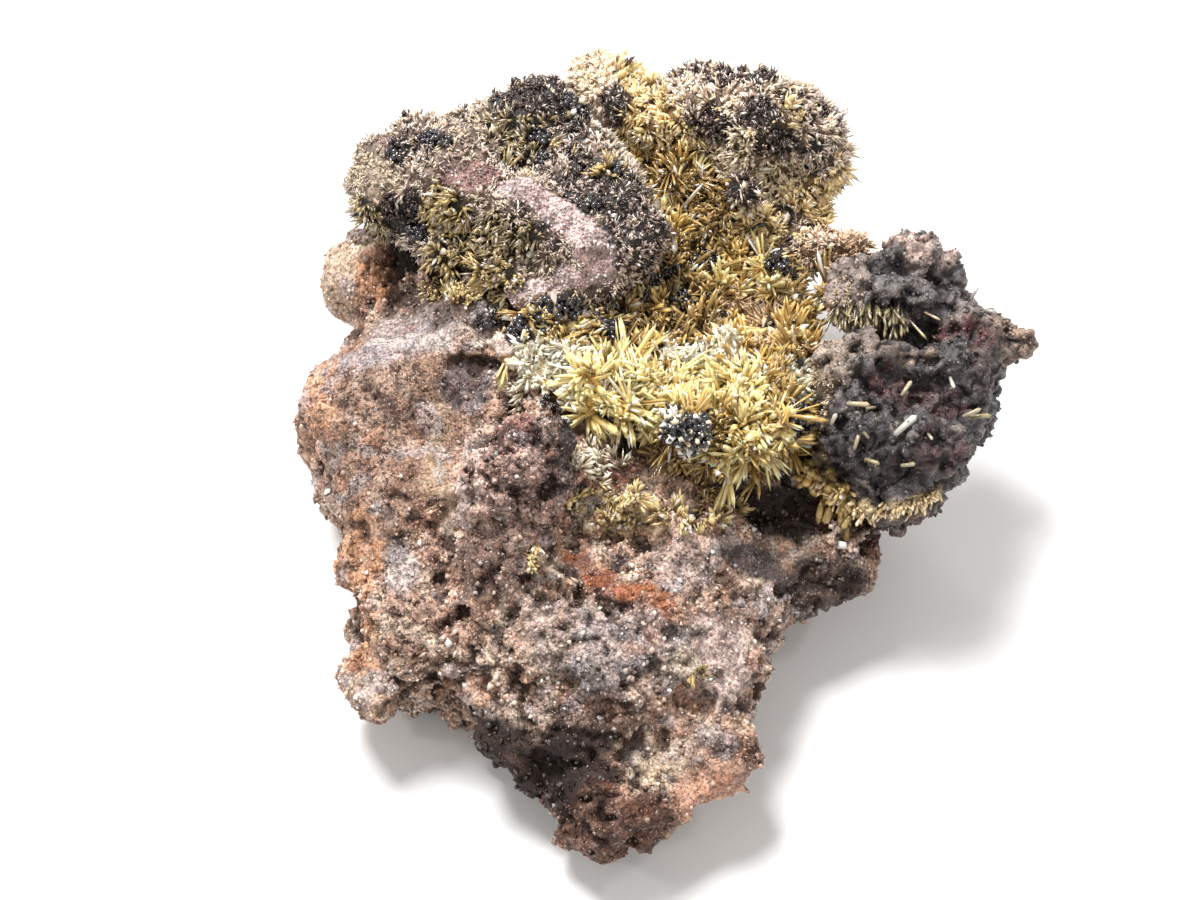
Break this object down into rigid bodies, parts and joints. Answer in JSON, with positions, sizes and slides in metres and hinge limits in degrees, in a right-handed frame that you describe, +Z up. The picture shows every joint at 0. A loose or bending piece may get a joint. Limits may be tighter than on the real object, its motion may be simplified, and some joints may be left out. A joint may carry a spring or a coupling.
{
  "type": "mineral specimen",
  "caption": "Mineral specimen: needle crystals lining the hollow of a porous host rock, with crystal-coated lumps behind it and a dark knobbly oxide mass beside it.",
  "frame": {"origin": "under the middle of the bounding box, on the flat break that the specimen lies on", "axes": "+Z up out of the crystal-lined hollow, +Y from the narrow tail towards the crystal-coated lumps, +X towards the dark oxide mass"},
  "size_m": [0.0932, 0.1016, 0.0427],
  "materials": {
    "rock": "rough, grainy and porous, pinkish tan with grey quartz and rust stains",
    "oxide": "dark, rough and knobbly iron and manganese oxide",
    "crystals": "translucent yellow needles with bright flat faces",
    "knob_crystals": "yellow and tan needles, coated dark in patches",
    "ridge_crystals": "mauve and tan crystal coating, dark-tipped in patches"
  },
  "bodies": {
    "root": {"matrix_rock": "rock", "oxide_mass": "oxide", "hollow_crust": "crystals", "knob_druse": "knob_crystals", "ridge_druse": "ridge_crystals"}
  },
  "joints": []
}
